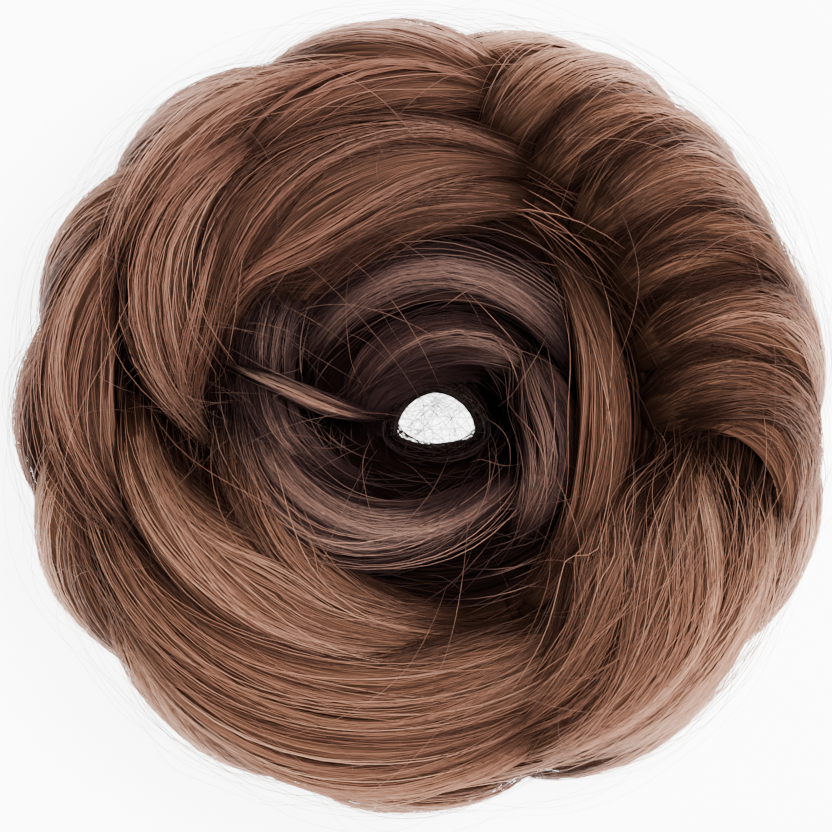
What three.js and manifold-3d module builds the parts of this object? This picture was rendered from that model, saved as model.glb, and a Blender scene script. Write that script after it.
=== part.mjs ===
// A top knot hairpiece: a bun of wavy false hair sewn in a ring on an elastic band, lying on a flat surface.
// Millimetres, +Z up, resting on z = 0, with the ring's open middle looking up.
import * as THREE from 'three';
import { mergeVertices } from 'three/addons/utils/BufferGeometryUtils.js';
import Module from 'manifold-3d';

const wasm = await Module();
wasm.setup();

// Driving sizes of the sewn ring of wefts that the locks lie on
const crestRadius = 46; // from the middle of the bun to the top of the ring
const outerReach = 23.5; // from the crest out to the ring's side
const frontBackTrim = 1.7; // how much less it reaches to the front and back
const midHeight = 23; // height of the ring's widest place
const crestRise = 29; // from there up to the crest
const footSink = 4; // how far its round foot would go below the table, before it is cut flat
const funnelFlare = 1.4; // how much sooner the wall inside the crest falls away than a round one

// The hole through the middle, off centre and longer across than along
const holeHalfWidth = 7.6;
const holeBackHalf = 5.6;
const holeFrontHalf = 4.6;
const holeOffsetX = 2.2;
const holeOffsetY = -0.6;

// The covered elastic that the wefts are sewn to
const bandThickness = 5;

// A typical lock of hair, which the table below takes shares of
const lockWidth = 20;
const lockDepth = 9;
const lockEndShare = 0.3; // how wide and deep a lock's ends are, as a share of its middle
const lockRounding = 0.6; // how soon a lock is full from its ends, less being sooner
const seatGap = 0.3; // between a piece and what it lies on

const ringStep = 12; // degrees round the bun between the sections of a weft
const outlineStep = 20; // degrees round the tube between the corners of a section
const bandSides = 8;
const bandSteps = 20;
const lockSides = 6;
const lockSteps = 6;

const hairBrown = 0x7a5344;
const hairLight = 0x9a6f55;
const hairDark = 0x4b322c;
const bandBrown = 0x2c201d;
const hairRoughness = 0.45;
const bandRoughness = 0.9;

// Turns round the ring's own tube, in degrees: 0 is its outer side, 90 its crest and 180 its throat.
// The elastic lies where the inner weft parts from the others underneath.
const bandTurn = -135;
const partingTurn = 104;
const outerTurns = [bandTurn, partingTurn];
const innerTurns = [partingTurn, bandTurn + 360];

// The wefts, from the lowest to the one that lies over all the others. Each is a stretch of the sewn ring,
// from one angle to another round the bun and from one turn to another, with its locks fused to it. Angles
// are in degrees from +X towards +Y. Each lock runs through three places, at its start, middle and end, and
// lift is a share of lockDepth above the ring. width and depth are shares of lockWidth and lockDepth.
const wefts = [
  {
    name: 'inner_weft', angles: [0, 360], turns: innerTurns, tone: hairDark,
    locks: [
      { angle: [205, 125, 45], turn: [154, 152, 148], lift: [0, 0.05, 0], width: 0.55, depth: 0.5 },
      { angle: [44, -8, -62], turn: [130, 126, 116], lift: [0, 0.12, 0], width: 0.6, depth: 0.8 },
      { angle: [176, 100, 26], turn: [146, 138, 132], lift: [0, 0.1, 0], width: 0.55, depth: 0.7 },
      { angle: [118, 170, 236], turn: [101, 113, 137], lift: [0, 0.2, 0], width: 0.6, depth: 0.75 },
      { angle: [160, 92, 14], turn: [126, 120, 118], lift: [0, 0.2, 0], width: 0.62, depth: 0.8 },
      { angle: [168, 240, 316], turn: [113, 122, 140], lift: [0, 0.42, 0.1], width: 0.72, depth: 0.85 },
      { angle: [167, 171, 178], turn: [106, 127, 150], lift: [0.35, 0.65, 0.75], width: 0.22, depth: 0.35 },
    ],
  },
  {
    name: 'sweep_weft', angles: [185, 292], turns: outerTurns, tone: hairLight,
    locks: [
      { angle: [292, 268, 244], turn: [-38, -2, 30], lift: [0, 0.2, 0.1], width: 1, depth: 0.9 },
      { angle: [264, 238, 210], turn: [-40, -2, 36], lift: [0, 0.28, 0.1], width: 1, depth: 0.9 },
      { angle: [230, 206, 182], turn: [-42, -2, 38], lift: [0, 0.3, 0.1], width: 1, depth: 0.9 },
      { angle: [226, 258, 294], turn: [20, 36, 48], lift: [0.1, 0.3, 0.1], width: 0.8, depth: 0.85 },
      { angle: [204, 250, 298], turn: [36, 51, 68], lift: [0.1, 0.32, 0.1], width: 0.85, depth: 0.9 },
      { angle: [176, 228, 284], turn: [108, 103, 100], lift: [0, 0.25, 0], width: 0.75, depth: 0.85 },
      { angle: [174, 226, 288], turn: [68, 88, 94], lift: [0.1, 0.35, 0.1], width: 0.8, depth: 0.9 },
      { angle: [188, 248, 308], turn: [48, 72, 82], lift: [0.1, 0.4, 0.1], width: 0.9, depth: 0.9 },
    ],
  },
  {
    name: 'fall_weft', angles: [292, 335], turns: outerTurns, tone: hairLight,
    locks: [
      { angle: [-34, -56, -80], turn: [32, -4, -40], lift: [0.1, 0.3, 0], width: 1, depth: 0.9 },
      { angle: [-14, -46, -82], turn: [101, 86, 54], lift: [0, 0.25, 0.1], width: 0.8, depth: 0.85 },
      { angle: [-12, -40, -70], turn: [44, 32, -4], lift: [0.1, 0.3, 0.1], width: 0.85, depth: 0.85 },
      { angle: [-6, -40, -78], turn: [82, 66, 28], lift: [0.1, 0.4, 0.2], width: 0.8, depth: 0.85 },
    ],
  },
  {
    name: 'crown_weft', angles: [72, 185], turns: outerTurns, tone: hairBrown,
    locks: [
      { angle: [202, 180, 158], turn: [-42, 0, 42], lift: [0, 0.3, 0.1], width: 1, depth: 0.9 },
      { angle: [178, 155, 133], turn: [-42, 0, 42], lift: [0, 0.32, 0.1], width: 1, depth: 0.9 },
      { angle: [153, 130, 107], turn: [-42, 0, 42], lift: [0, 0.32, 0.1], width: 1, depth: 0.9 },
      { angle: [126, 100, 74], turn: [-42, 0, 40], lift: [0, 0.25, 0.1], width: 1, depth: 0.9 },
      { angle: [206, 172, 140], turn: [62, 46, 40], lift: [0.1, 0.3, 0.1], width: 0.85, depth: 0.85 },
      { angle: [164, 130, 94], turn: [54, 42, 38], lift: [0.1, 0.32, 0.1], width: 0.85, depth: 0.85 },
      { angle: [186, 147, 108], turn: [98, 74, 54], lift: [0.1, 0.35, 0.1], width: 0.85, depth: 0.85 },
      { angle: [138, 106, 76], turn: [68, 60, 50], lift: [0.1, 0.35, 0.1], width: 0.75, depth: 0.85 },
      { angle: [162, 108, 62], turn: [107, 102, 92], lift: [0, 0.3, 0.1], width: 0.72, depth: 0.85 },
      { angle: [180, 118, 66], turn: [98, 87, 80], lift: [0.1, 0.45, 0.1], width: 0.85, depth: 0.9 },
    ],
  },
  {
    name: 'curl_weft', angles: [-25, 72], turns: outerTurns, tone: hairBrown,
    locks: [
      { angle: [84, 66, 46], turn: [24, -6, -42], lift: [0.1, 0.28, 0], width: 0.95, depth: 0.9 },
      { angle: [60, 40, 18], turn: [14, -14, -44], lift: [0.1, 0.25, 0], width: 0.95, depth: 0.9 },
      { angle: [32, 10, -14], turn: [12, -16, -44], lift: [0.1, 0.25, 0], width: 0.95, depth: 0.9 },
      { angle: [0, -24, -50], turn: [22, -8, -42], lift: [0.1, 0.25, 0], width: 0.95, depth: 0.9 },
      { angle: [58, 2, -68], turn: [99, 109, 97], lift: [0, 0.35, 0], width: 0.46, depth: 0.8 },
      { angle: [-2, 4, -26], turn: [101, 57, 0], lift: [0, 0.42, 0.1], width: 1, depth: 0.9 },
      { angle: [15, 16, -11], turn: [103, 54, 2], lift: [0, 0.42, 0.1], width: 0.95, depth: 0.9 },
      { angle: [33, 30, 3], turn: [101, 50, 0], lift: [0, 0.42, 0.1], width: 0.95, depth: 0.9 },
      { angle: [50, 43, 15], turn: [97, 45, -2], lift: [0, 0.42, 0.1], width: 0.95, depth: 0.9 },
      { angle: [64, 54, 26], turn: [88, 36, -8], lift: [0, 0.42, 0.1], width: 0.95, depth: 0.9 },
      { angle: [77, 64, 40], turn: [78, 24, -14], lift: [0, 0.42, 0.1], width: 0.9, depth: 0.85 },
    ],
  },
];

const radians = THREE.MathUtils.degToRad;

// The value at share t of the way through three values at 0, a half and 1, on one smooth curve
function through([start, middle, end], t) {
  return start * (1 - t) * (1 - 2 * t) + 4 * middle * t * (1 - t) + end * t * (2 * t - 1);
}

// The ring is turned round first and then shaped: this moves a place on it in plan, so that the throat takes
// the hole's outline and the outside is trimmed at the front and back
const innerReach = crestRadius - holeHalfWidth;
const frontBackShare = 1 - frontBackTrim / (crestRadius + outerReach);
function shapePlan(x, y) {
  const nearness = THREE.MathUtils.clamp((crestRadius - Math.hypot(x, y)) / innerReach, 0, 1) ** 2;
  const holeShare = (y > 0 ? holeBackHalf : holeFrontHalf) / holeHalfWidth;
  const stretch = THREE.MathUtils.lerp(frontBackShare, holeShare, nearness);
  return [x + nearness * holeOffsetX, y * stretch + nearness * holeOffsetY];
}

// Radius and height of the ring's tube at a turn round it. Inside the crest the wall falls as a funnel.
function tubeSection(turn) {
  const across = Math.cos(radians(turn));
  const up = Math.sin(radians(turn));
  const radius = crestRadius + across * (across > 0 ? outerReach : innerReach);
  const rise = across < 0 && up > 0 ? up ** funnelFlare : up;
  return [radius, midHeight + rise * (up > 0 ? crestRise : midHeight + footSink)];
}

// The point of the ring's surface at an angle round the bun and a turn round its tube
function surfacePoint(angle, turn) {
  const [radius, height] = tubeSection(turn);
  const [x, y] = shapePlan(radius * Math.cos(radians(angle)), radius * Math.sin(radians(angle)));
  return new THREE.Vector3(x, y, height);
}

// The direction straight out of the surface there, from places a small step of degrees to each side
function surfaceNormal(angle, turn) {
  const step = 0.5;
  const round = surfacePoint(angle + step, turn).sub(surfacePoint(angle - step, turn));
  const over = surfacePoint(angle, turn + step).sub(surfacePoint(angle, turn - step));
  return round.cross(over).normalize();
}

// A closed mesh of rows of points, each row one closed loop. The first and last rows are capped, unless the
// rows go whole round and meet.
function loftGeometry(rows, whole = false) {
  const sides = rows[0].length;
  const points = rows.flat();
  const faces = [];
  for (let row = 0; row + 1 < rows.length; row += 1) {
    for (let side = 0; side < sides; side += 1) {
      const next = (side + 1) % sides;
      const [a, b] = [row * sides + side, row * sides + next];
      faces.push(a, b, b + sides, a, b + sides, a + sides);
    }
  }
  for (const [row, flip] of whole ? [] : [[0, true], [rows.length - 1, false]]) {
    const middle = points.length;
    points.push(rows[row].reduce((sum, p) => sum.add(p), new THREE.Vector3()).divideScalar(sides));
    for (let side = 0; side < sides; side += 1) {
      const [a, b] = [row * sides + side, row * sides + ((side + 1) % sides)];
      faces.push(...(flip ? [middle, b, a] : [middle, a, b]));
    }
  }
  const geometry = new THREE.BufferGeometry().setFromPoints(points);
  geometry.setIndex(faces);
  return geometry;
}

// The middle of a lock at share t of its length, and the direction out of the ring under it
function lockPath(lock, t) {
  const [angle, turn] = [through(lock.angle, t), through(lock.turn, t)];
  const normal = surfaceNormal(angle, turn);
  const point = surfacePoint(angle, turn).addScaledVector(normal, through(lock.lift, t) * lockDepth);
  return { point, normal };
}

// One lock as a loft along its path, flattened where it would meet the table. grow makes the same lock
// larger all round, to cut room for it.
function lockGeometry(lock, grow = 0) {
  const rows = [];
  const step = 1 / lockSteps;
  for (let row = 0; row <= lockSteps; row += 1) {
    const t = row * step;
    const { point, normal } = lockPath(lock, t);
    const along = lockPath(lock, t + step / 10).point.sub(lockPath(lock, t - step / 10).point).normalize();
    const across = along.clone().cross(normal).normalize();
    const out = across.clone().cross(along).normalize();
    const fullness = THREE.MathUtils.lerp(lockEndShare, 1, Math.sin(Math.PI * t) ** lockRounding);
    const halfWidth = (lock.width * lockWidth * fullness) / 2 + grow;
    const halfDepth = (lock.depth * lockDepth * fullness) / 2 + grow;
    const endGrow = grow * ((row === lockSteps) - (row === 0));
    rows.push(Array.from({ length: lockSides }, (_, side) => {
      const round = (2 * Math.PI * side) / lockSides;
      const corner = point.clone()
        .addScaledVector(along, endGrow)
        .addScaledVector(across, halfWidth * Math.cos(round))
        .addScaledVector(out, halfDepth * Math.sin(round));
      return corner.setZ(Math.max(corner.z, seatGap - grow));
    }));
  }
  return loftGeometry(rows);
}

// The stretch of the sewn ring that a weft's locks are fused to: the part of the tube's outline between two
// turns, carried round the bun between two angles. grow makes it larger all round, to cut room for it.
function backingGeometry({ angles: [from, to], turns: [first, last] }, grow = 0) {
  const whole = to - from === 360;
  const angleGrow = whole ? 0 : THREE.MathUtils.radToDeg(grow / (crestRadius - innerReach));
  const turnGrow = THREE.MathUtils.radToDeg(grow / midHeight);
  const rowCount = Math.round((to - from) / ringStep);
  const outlineCount = Math.round((last - first) / outlineStep);
  const rows = [];
  for (let row = 0; row <= rowCount; row += 1) {
    const angle = THREE.MathUtils.lerp(from - angleGrow, to + angleGrow, row / rowCount);
    const outline = [];
    for (let place = 0; place <= outlineCount; place += 1) {
      const turn = THREE.MathUtils.lerp(first - turnGrow, last + turnGrow, place / outlineCount);
      const point = surfacePoint(angle, turn).addScaledVector(surfaceNormal(angle, turn), grow);
      outline.push(point.setZ(Math.max(point.z, -grow)));
    }
    rows.push(outline.reverse());
  }
  return loftGeometry(rows, whole);
}

// The elastic as a round section carried once round the foot of the ring
function bandGeometry(grow = 0) {
  const rows = [];
  for (let step = 0; step <= bandSteps; step += 1) {
    const angle = (360 * step) / bandSteps;
    const outward = new THREE.Vector3(Math.cos(radians(angle)), Math.sin(radians(angle)), 0);
    rows.push(Array.from({ length: bandSides }, (_, side) => {
      const round = (2 * Math.PI * side) / bandSides;
      const corner = surfacePoint(angle, bandTurn);
      corner.addScaledVector(outward, (bandThickness / 2 + grow) * Math.cos(round));
      return corner.setZ(corner.z + (bandThickness / 2 + grow) * Math.sin(round));
    }));
  }
  return loftGeometry(rows, true);
}

// A manifold-3d solid of a closed geometry, turned right side out if its faces point inwards
function solidOf(geometry) {
  const bare = geometry.clone();
  bare.deleteAttribute('normal');
  bare.deleteAttribute('uv');
  const merged = mergeVertices(bare, 1e-3);
  const build = (triVerts) => new wasm.Manifold(new wasm.Mesh({
    numProp: 3,
    vertProperties: new Float32Array(merged.getAttribute('position').array),
    triVerts,
  }));
  const solid = build(new Uint32Array(merged.index.array));
  return solid.volume() > 0 ? solid : build(new Uint32Array(merged.index.array).reverse());
}

// The largest body of a solid, without the slivers that a cut leaves at a lock's edge
function mainBody(solid) {
  return solid.decompose().reduce((best, body) => (body.volume() > best.volume() ? body : best));
}

function meshOf(solid, name, color, roughness) {
  const made = solid.getMesh();
  const geometry = new THREE.BufferGeometry();
  geometry.setAttribute('position', new THREE.BufferAttribute(made.vertProperties, 3));
  geometry.setIndex(new THREE.BufferAttribute(made.triVerts, 1));
  geometry.computeVertexNormals();
  const mesh = new THREE.Mesh(geometry, new THREE.MeshStandardMaterial({ color, roughness, metalness: 0 }));
  mesh.name = name;
  return mesh;
}

// A weft's backing and all its locks, fused into one solid
function weftSolid(weft, grow = 0) {
  return weft.locks.reduce(
    (fused, lock) => fused.add(solidOf(lockGeometry(lock, grow))),
    solidOf(backingGeometry(weft, grow)),
  );
}

const hairpiece = new THREE.Group();
hairpiece.add(meshOf(solidOf(bandGeometry()), 'elastic_band', bandBrown, bandRoughness));

// Each weft is cut to lie against the band and under the wefts that come after it
const bandRoom = solidOf(bandGeometry(seatGap));
const weftRooms = wefts.map((weft) => weftSolid(weft, seatGap));
wefts.forEach((weft, place) => {
  const rooms = [bandRoom, ...weftRooms.slice(place + 1)];
  const cut = rooms.reduce((left, room) => left.subtract(room), weftSolid(weft));
  hairpiece.add(meshOf(mainBody(cut), weft.name, weft.tone, hairRoughness));
});

// The origin is under the middle of the whole bun's outline
const outlineBox = new THREE.Box3().setFromObject(hairpiece);
const outlineMiddle = outlineBox.getCenter(new THREE.Vector3());
hairpiece.position.set(-outlineMiddle.x, -outlineMiddle.y, 0);

export default hairpiece;
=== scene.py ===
"""A top knot hairpiece: wefts of wavy brown false hair sewn in a ring on an elastic band, seen from above."""

import logging
import math
from dataclasses import dataclass, field
from enum import Enum

import bpy
import numpy as np
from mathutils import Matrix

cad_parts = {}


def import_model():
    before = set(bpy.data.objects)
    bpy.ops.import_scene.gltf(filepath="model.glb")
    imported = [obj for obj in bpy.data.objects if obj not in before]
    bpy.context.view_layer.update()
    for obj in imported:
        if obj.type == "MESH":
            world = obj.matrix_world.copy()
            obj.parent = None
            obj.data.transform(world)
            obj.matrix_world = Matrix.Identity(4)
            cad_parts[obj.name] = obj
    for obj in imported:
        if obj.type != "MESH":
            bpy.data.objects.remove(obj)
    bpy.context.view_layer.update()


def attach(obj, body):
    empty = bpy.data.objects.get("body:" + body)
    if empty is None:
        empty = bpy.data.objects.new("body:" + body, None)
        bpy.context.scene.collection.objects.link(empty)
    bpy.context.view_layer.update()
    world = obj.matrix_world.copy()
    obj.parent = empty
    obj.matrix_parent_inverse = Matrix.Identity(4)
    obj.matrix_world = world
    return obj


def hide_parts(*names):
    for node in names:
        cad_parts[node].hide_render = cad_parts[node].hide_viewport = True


LOG = logging.getLogger("hairpiece")
MM = 0.001
UV_MAP = "OFBake"
SEED = 7

Triple = tuple[float, float, float]


def linear(hex_colour: str) -> tuple[float, float, float, float]:
    """Turns an sRGB hex colour into the linear colour that a shader takes.

    Args:
        hex_colour: The colour as six hex digits after a hash sign.

    Returns:
        Linear red, green and blue, with an alpha of 1.
    """
    parts = [int(hex_colour[place:place + 2], 16) / 255 for place in (1, 3, 5)]
    turned = [part / 12.92 if part <= 0.04045 else ((part + 0.055) / 1.055) ** 2.4 for part in parts]
    return (*turned, 1.0)


def through(values: Triple, t: np.ndarray) -> np.ndarray:
    """Gives the smooth curve through three values at 0, a half and 1.

    Args:
        values: The values at the start, middle and end.
        t: Shares of the way along.

    Returns:
        The curve's value at each share.
    """
    start, middle, end = values
    return start * (1 - t) * (1 - 2 * t) + 4 * middle * t * (1 - t) + end * t * (2 * t - 1)


def smooth(edge: float, full: float, t: np.ndarray) -> np.ndarray:
    """Rises smoothly from 0 at edge to 1 at full.

    Args:
        edge: Where the rise starts.
        full: Where it ends.
        t: The values to place on the rise.

    Returns:
        The height of the rise at each value.
    """
    share = np.clip((t - edge) / (full - edge), 0, 1)
    return share * share * (3 - 2 * share)


def eased(points: np.ndarray) -> np.ndarray:
    """Takes the kinks out of strands, with their ends and their main curve kept.

    Args:
        points: Strand, place along it, and x, y, z.

    Returns:
        The smoother strands.
    """
    for share in (0.5, -0.52, 0.5, -0.52):
        points = points.copy()
        points[:, 1:-1] += share * (0.5 * (points[:, :-2] + points[:, 2:]) - points[:, 1:-1])
    return points


def unit(vectors: np.ndarray) -> np.ndarray:
    """Scales vectors along the last axis to a length of 1."""
    return vectors / np.maximum(np.linalg.norm(vectors, axis=-1, keepdims=True), 1e-12)


def add_node(
    tree: bpy.types.NodeTree,
    kind: str,
    settings: dict[str, object] | None = None,
    values: dict[str | int, object] | None = None,
    links: dict[str | int, bpy.types.NodeSocket] | None = None,
) -> bpy.types.Node:
    """Adds a node with its settings, socket values and incoming links.

    Args:
        tree: The material's node tree.
        kind: The node's type name.
        settings: Properties of the node itself.
        values: Values for its input sockets.
        links: Sockets of other nodes that lead into its inputs.

    Returns:
        The new node.
    """
    node = tree.nodes.new(kind)
    for name, value in (settings or {}).items():
        setattr(node, name, value)
    for name, value in (values or {}).items():
        node.inputs[name].default_value = value
    for name, socket in (links or {}).items():
        tree.links.new(socket, node.inputs[name])
    return node


def set_ramp(node: bpy.types.Node, stops: list[tuple[float, str]]) -> None:
    """Gives a colour ramp its stops.

    Args:
        node: The colour ramp node.
        stops: Each stop's place and hex colour, in order.
    """
    elements = node.color_ramp.elements
    while len(elements) > 1:
        elements.remove(elements[-1])
    elements[0].position, elements[0].color = stops[0][0], linear(stops[0][1])
    for place, colour in stops[1:]:
        elements.new(place).color = linear(colour)


def mesh_object(name: str, points: np.ndarray, quads: np.ndarray, tris: np.ndarray, uv: np.ndarray) -> bpy.types.Object:
    """Makes one object of joined shapes from arrays.

    Args:
        name: The object's name.
        points: Corner places, a row each.
        quads: Four corner numbers a row.
        tris: Three corner numbers a row.
        uv: A place on the pattern map for each corner.

    Returns:
        The new object, linked to the scene.
    """
    mesh = bpy.data.meshes.new(name)
    corners = np.concatenate([quads.ravel(), tris.ravel()]).astype(np.int32)
    sizes = np.concatenate([np.full(len(quads), 4), np.full(len(tris), 3)]).astype(np.int32)
    mesh.vertices.add(len(points))
    mesh.loops.add(len(corners))
    mesh.polygons.add(len(sizes))
    mesh.vertices.foreach_set("co", np.ascontiguousarray(points, dtype=np.float32).ravel())
    mesh.loops.foreach_set("vertex_index", corners)
    mesh.polygons.foreach_set("loop_start", np.concatenate([[0], np.cumsum(sizes)[:-1]]).astype(np.int32))
    mesh.polygons.foreach_set("use_smooth", np.ones(len(sizes), dtype=bool))
    layer = mesh.uv_layers.new(name=UV_MAP)
    layer.data.foreach_set("uv", uv[corners].astype(np.float32).ravel())
    mesh.update(calc_edges=True)
    mesh.validate()
    made = bpy.data.objects.new(name, mesh)
    bpy.context.collection.objects.link(made)
    return made


@dataclass(frozen=True)
class BunForm:
    """The ring's own shape, the same as in the part's solids, in metres."""

    crest_radius: float = 46 * MM
    outer_reach: float = 23.5 * MM
    front_back_trim: float = 1.7 * MM
    mid_height: float = 23 * MM
    crest_rise: float = 29 * MM
    foot_sink: float = 4 * MM
    funnel_flare: float = 1.4
    hole_half_width: float = 7.6 * MM
    hole_back_half: float = 5.6 * MM
    hole_front_half: float = 4.6 * MM
    hole_offset: tuple[float, float] = (2.2 * MM, -0.6 * MM)
    ring_middle: tuple[float, float] = (0.63 * MM, -0.04 * MM)
    band_turn: float = -135.0
    parting_turn: float = 104.0

    def place(self, angle: np.ndarray, turn: np.ndarray) -> np.ndarray:
        """Gives points of the ring's surface.

        Args:
            angle: Degrees round the bun from +X towards +Y.
            turn: Degrees round the tube, 0 outside, 90 at the crest and 180 at the throat.

        Returns:
            The points, one along the last axis for each pair.
        """
        inner_reach = self.crest_radius - self.hole_half_width
        across, up = np.cos(np.radians(turn)), np.sin(np.radians(turn))
        radius = self.crest_radius + across * np.where(across > 0, self.outer_reach, inner_reach)
        radius = np.maximum(radius, 1 * MM)
        funnel = np.abs(up) ** self.funnel_flare
        rise = np.where((across < 0) & (up > 0), funnel, up)
        height = self.mid_height + rise * np.where(up > 0, self.crest_rise, self.mid_height + self.foot_sink)
        x, y = radius * np.cos(np.radians(angle)), radius * np.sin(np.radians(angle))
        near = np.clip((self.crest_radius - radius) / inner_reach, 0, 1) ** 2
        hole_share = np.where(y > 0, self.hole_back_half, self.hole_front_half) / self.hole_half_width
        trim_share = 1 - self.front_back_trim / (self.crest_radius + self.outer_reach)
        stretch = trim_share + (hole_share - trim_share) * near
        x = x + near * self.hole_offset[0] + self.ring_middle[0]
        y = y * stretch + near * self.hole_offset[1] + self.ring_middle[1]
        return np.stack([x, y, height], axis=-1)

    def slopes(self, angle: np.ndarray, turn: np.ndarray) -> tuple[np.ndarray, np.ndarray, np.ndarray]:
        """Gives the surface's two directions, per degree, and its outward normal.

        Args:
            angle: Degrees round the bun.
            turn: Degrees round the tube.

        Returns:
            The move per degree of angle, the move per degree of turn, and the unit normal.
        """
        half = 0.5
        by_angle = self.place(angle + half, turn) - self.place(angle - half, turn)
        by_turn = self.place(angle, turn + half) - self.place(angle, turn - half)
        return by_angle, by_turn, unit(np.cross(by_angle, by_turn))


@dataclass(frozen=True)
class Lock:
    """One lock of hair: its run along the ring at its start, middle and end, and its size."""

    angle: Triple
    turn: Triple
    lift: Triple
    width: float
    depth: float
    fill: float = 1.0
    mess: float = 1.0
    tone: float = 0.0
    root: float = 1.0
    tip: float = 1.0
    shift: float = 0.0


@dataclass(frozen=True)
class HairCut:
    """How strands lie in a lock, in metres."""

    lock_width: float = 20 * MM
    lock_depth: float = 9 * MM
    end_width: float = 0.42
    width_rounding: float = 0.6
    end_depth: float = 0.12
    depth_rounding: float = 0.95
    radius: float = 0.068 * MM
    crown_rise: float = 1.1
    tress_width: float = 5.5 * MM
    tress_rise: float = 1.15 * MM
    clump_width: float = 1.1 * MM
    wave: float = 0.9 * MM
    stray_share: float = 0.07
    under_share: float = 0.2
    under_depth: tuple[float, float] = (0.4 * MM, 1.9 * MM)
    light_share: float = 0.05
    segment: float = 6.2 * MM
    stray_steps: int = 22
    base_tone: float = 0.44
    # Painted shade: strands darken towards a lock's edges, where it curves away from the light.
    edge_painted_shade: float = 0.27
    spread: float = 0.9
    root_sink: float = 2.4 * MM
    tip_sink: float = 2.6 * MM
    floor_clear: float = 0.4 * MM
    core_share: float = 0.9
    outer_core_share: float = 1.12
    core_inset: float = 0.65 * MM
    core_base: float = 1.5 * MM
    backing_inset: float = 0.7 * MM


@dataclass(frozen=True)
class Shading:
    """How a strand's painted light and shade follow its place: deep hair and the throat get painted shade, and the rim
    gets painted light.
    """

    depth_full: float = 3.6 * MM
    depth_free: float = 0.5 * MM
    # Painted shade on hair that lies below the local top of the hair.
    depth_painted_shade: float = 0.46
    # Painted shade in the throat round the open middle.
    throat_painted_shade: float = 0.42
    throat_middle: tuple[float, float] = (2.6 * MM, -2.0 * MM)
    throat_radii: tuple[float, float] = (20 * MM, 11 * MM)
    darkest: float = 0.1
    # Painted light on the rim of the bun.
    rim_painted_light: float = 0.32
    rim_turns: tuple[float, float] = (62.0, 18.0)


@dataclass
class Strands:
    """Strands with the same number of places: where each place lies on the ring, its size and its shade."""

    angle: np.ndarray
    turn: np.ndarray
    height: np.ndarray
    radius: np.ndarray
    tone: np.ndarray


class HairTop:
    """The height of the topmost hair over the ring, on a grid round the bun and round the tube."""

    angle_step = 1.5
    turn_step = 3.0
    first_turn = -180.0
    turn_cells = 144
    reach = 2

    def __init__(self) -> None:
        """Starts with bare ring."""
        self.grid = np.zeros((round(360 / self.angle_step), self.turn_cells))

    def cells(self, angle: np.ndarray, turn: np.ndarray) -> tuple[np.ndarray, np.ndarray]:
        """Gives the grid cells of places on the ring."""
        row = np.floor(angle / self.angle_step).astype(int) % self.grid.shape[0]
        column = np.clip(np.floor((turn - self.first_turn) / self.turn_step).astype(int), 0, self.turn_cells - 1)
        return row, column

    def note(self, strands: Strands) -> None:
        """Raises the top to strands that lie over it."""
        np.maximum.at(self.grid, self.cells(strands.angle, strands.turn), strands.height)

    def settle(self) -> None:
        """Widens the peaks and smooths the top, so that a valley shows as depth."""
        grid = self.grid
        for axis in (0, 1):
            grid = np.max([np.roll(grid, move, axis) for move in range(-self.reach, self.reach + 1)], axis=0)
        for axis in (0, 1):
            grid = np.mean([np.roll(grid, move, axis) for move in range(-self.reach, self.reach + 1)], axis=0)
        self.grid = grid

    def at(self, angle: np.ndarray, turn: np.ndarray) -> np.ndarray:
        """Gives the top's height at places on the ring."""
        return self.grid[self.cells(angle, turn)]


@dataclass
class StrandMesh:
    """Strands waiting to be joined into one mesh."""

    points: list[np.ndarray] = field(default_factory=list)
    ups: list[np.ndarray] = field(default_factory=list)
    radii: list[np.ndarray] = field(default_factory=list)
    tones: list[np.ndarray] = field(default_factory=list)

    def add(self, points: np.ndarray, ups: np.ndarray, radii: np.ndarray, tones: np.ndarray) -> None:
        """Adds strands that all have the same number of places.

        Args:
            points: Strand, place along it, and x, y, z.
            ups: The direction out of the bun at each place.
            radii: Each place's half thickness.
            tones: Each place's shade, from 0, dark, to 1, light.
        """
        self.points.append(points)
        self.ups.append(ups)
        self.radii.append(radii)
        self.tones.append(tones)

    def joined(self, name: str) -> bpy.types.Object:
        """Joins all the strands as closed three-sided tubes that taper at both ends.

        Args:
            name: The new object's name.

        Returns:
            The object.
        """
        all_points, all_quads, all_tris, all_uv = [], [], [], []
        first = 0
        sides = 3
        strip = 3 / 1024
        for points, ups, radii, tones in zip(self.points, self.ups, self.radii, self.tones):
            count, places = points.shape[:2]
            along = unit(np.gradient(points, axis=1))
            side = unit(np.cross(along, ups))
            out = np.cross(side, along)
            round_angles = np.radians(90) + 2 * np.pi * np.arange(sides) / sides
            ring = (
                side[:, :, None, :] * np.cos(round_angles)[None, None, :, None]
                + out[:, :, None, :] * np.sin(round_angles)[None, None, :, None]
            )
            corners = points[:, :, None, :] + ring * radii[:, :, None, None]
            number = first + np.arange(count * places * sides).reshape(count, places, sides)
            after = np.roll(number, -1, axis=2)
            quads = np.stack([number[:, :-1], number[:, 1:], after[:, 1:], after[:, :-1]], axis=-1)
            all_points.append(corners.reshape(-1, 3))
            all_quads.append(quads.reshape(-1, 4))
            all_tris.append(number[:, 0, :])
            all_tris.append(number[:, -1, ::-1])
            share = np.broadcast_to(np.linspace(0.002, 0.998, places)[None, :, None], corners.shape[:3])
            low = np.clip(tones, 0, 1)[:, :, None] * (1 - strip)
            across = np.arange(sides)[None, None, :] / (sides - 1) * strip + low
            all_uv.append(np.stack([share, across], axis=-1).reshape(-1, 2))
            first += count * places * sides
        return mesh_object(
            name,
            np.concatenate(all_points),
            np.concatenate(all_quads),
            np.concatenate(all_tris),
            np.concatenate(all_uv),
        )


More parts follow.
